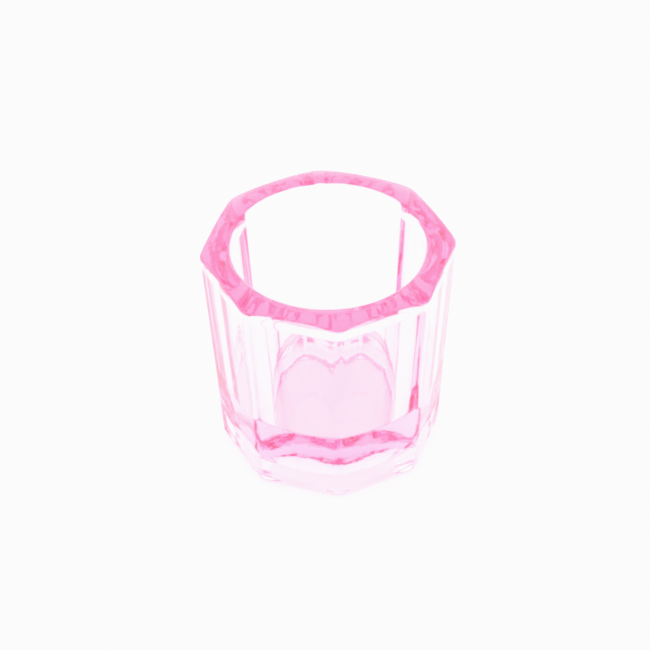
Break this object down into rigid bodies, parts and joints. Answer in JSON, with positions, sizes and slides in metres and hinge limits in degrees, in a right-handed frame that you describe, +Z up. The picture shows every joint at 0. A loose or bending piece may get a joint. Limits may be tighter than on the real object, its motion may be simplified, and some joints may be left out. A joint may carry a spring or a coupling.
{
  "type": "dappen dish",
  "caption": "Small pink tinted glass cup with an eight-sided tapered body, a round well with a domed lip, and a thick base that is hollow underneath.",
  "frame": {"origin": "centre of the foot, on the plane the dish stands on", "axes": "+Z up, out of the mouth of the well; corners of the octagon on the X and Y axes"},
  "size_m": [0.03, 0.03, 0.0284],
  "materials": {
    "pink_glass": "clear pink tinted pressed glass, fire-polished smooth all over"
  },
  "bodies": {
    "root": {"dappen_dish": "pink_glass"}
  },
  "joints": []
}
